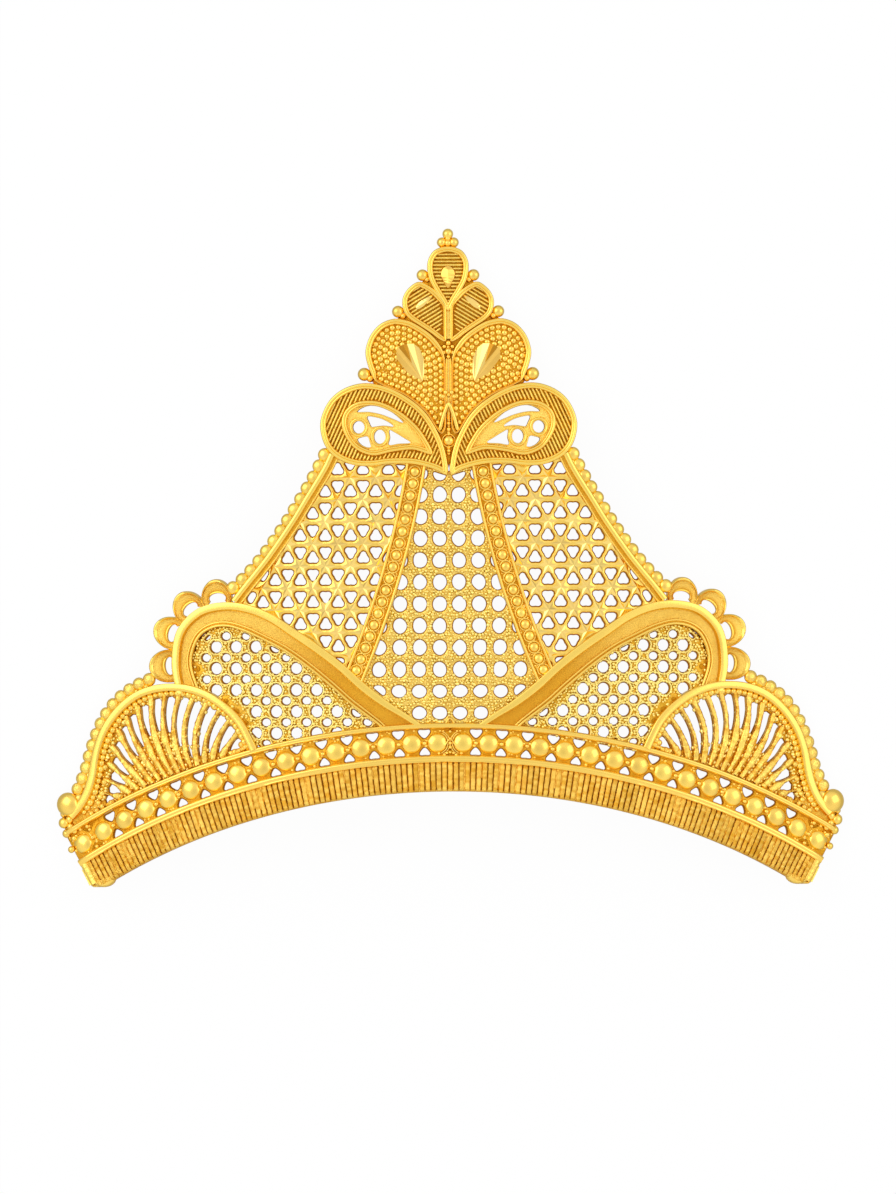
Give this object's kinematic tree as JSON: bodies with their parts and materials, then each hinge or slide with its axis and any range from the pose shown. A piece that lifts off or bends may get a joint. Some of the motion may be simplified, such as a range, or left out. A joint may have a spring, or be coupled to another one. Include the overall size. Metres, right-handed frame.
{
  "type": "bridal crown",
  "caption": "Openwork gold crown worn on the brow: a ribbed band with a row of balls carries fans, scrolls, pierced lattices and a leafy crest.",
  "frame": {"origin": "centre of the crown's box, on the surface that it lies on", "axes": "+X along the brow, from end ball to end ball, +Y up the crown towards its crest, +Z out of its face; the crown leans 9 degrees, so its crest is lower than its band"},
  "size_m": [0.1336, 0.1116, 0.0161],
  "materials": {
    "polished_gold": "polished yellow gold wire, beads and rims",
    "satin_gold": "satin yellow gold with fine ribs and grains",
    "matt_gold": "sandblasted matt yellow gold"
  },
  "bodies": {
    "root": {"ball_row_left": "polished_gold", "ball_row_right": "polished_gold", "bead_channel_left": "satin_gold", "bead_channel_right": "satin_gold", "centre_boss": "satin_gold", "centre_mesh": "satin_gold", "channel_beads_left": "polished_gold", "channel_beads_right": "polished_gold", "crest_leaf_left": "satin_gold", "crest_leaf_right": "satin_gold", "crest_lobe_left": "satin_gold", "crest_lobe_right": "satin_gold", "crest_stem": "polished_gold", "end_ball_left": "polished_gold", "end_ball_right": "polished_gold", "end_grains_left": "polished_gold", "end_grains_right": "polished_gold", "fan_beads_left": "polished_gold", "fan_beads_right": "polished_gold", "fan_frame_left": "polished_gold", "fan_frame_right": "polished_gold", "fan_ribs_left": "satin_gold", "fan_ribs_right": "satin_gold", "finial": "polished_gold", "knob_high_left": "polished_gold", "knob_high_right": "polished_gold", "knob_low_left": "polished_gold", "knob_low_right": "polished_gold", "knob_mid_left": "polished_gold", "knob_mid_right": "polished_gold", "lattice_left": "satin_gold", "lattice_right": "satin_gold", "lobe_stone_left": "polished_gold", "lobe_stone_right": "polished_gold", "lower_rail": "polished_gold", "paisley_left": "polished_gold", "paisley_right": "polished_gold", "ribbed_band": "satin_gold", "scallop_1_left": "polished_gold", "scallop_1_right": "polished_gold", "scallop_2_left": "polished_gold", "scallop_2_right": "polished_gold", "scallop_3_left": "polished_gold", "scallop_3_right": "polished_gold", "scallop_4_left": "polished_gold", "scallop_4_right": "polished_gold", "scroll_frame_left": "matt_gold", "scroll_frame_right": "matt_gold", "side_beads_left": "polished_gold", "side_beads_right": "polished_gold", "side_rail_left": "polished_gold", "side_rail_right": "polished_gold", "star_mesh_left": "polished_gold", "star_mesh_right": "polished_gold", "top_drop": "satin_gold", "upper_leaf_left": "satin_gold", "upper_leaf_right": "satin_gold", "upper_rail": "polished_gold"}
  },
  "joints": []
}
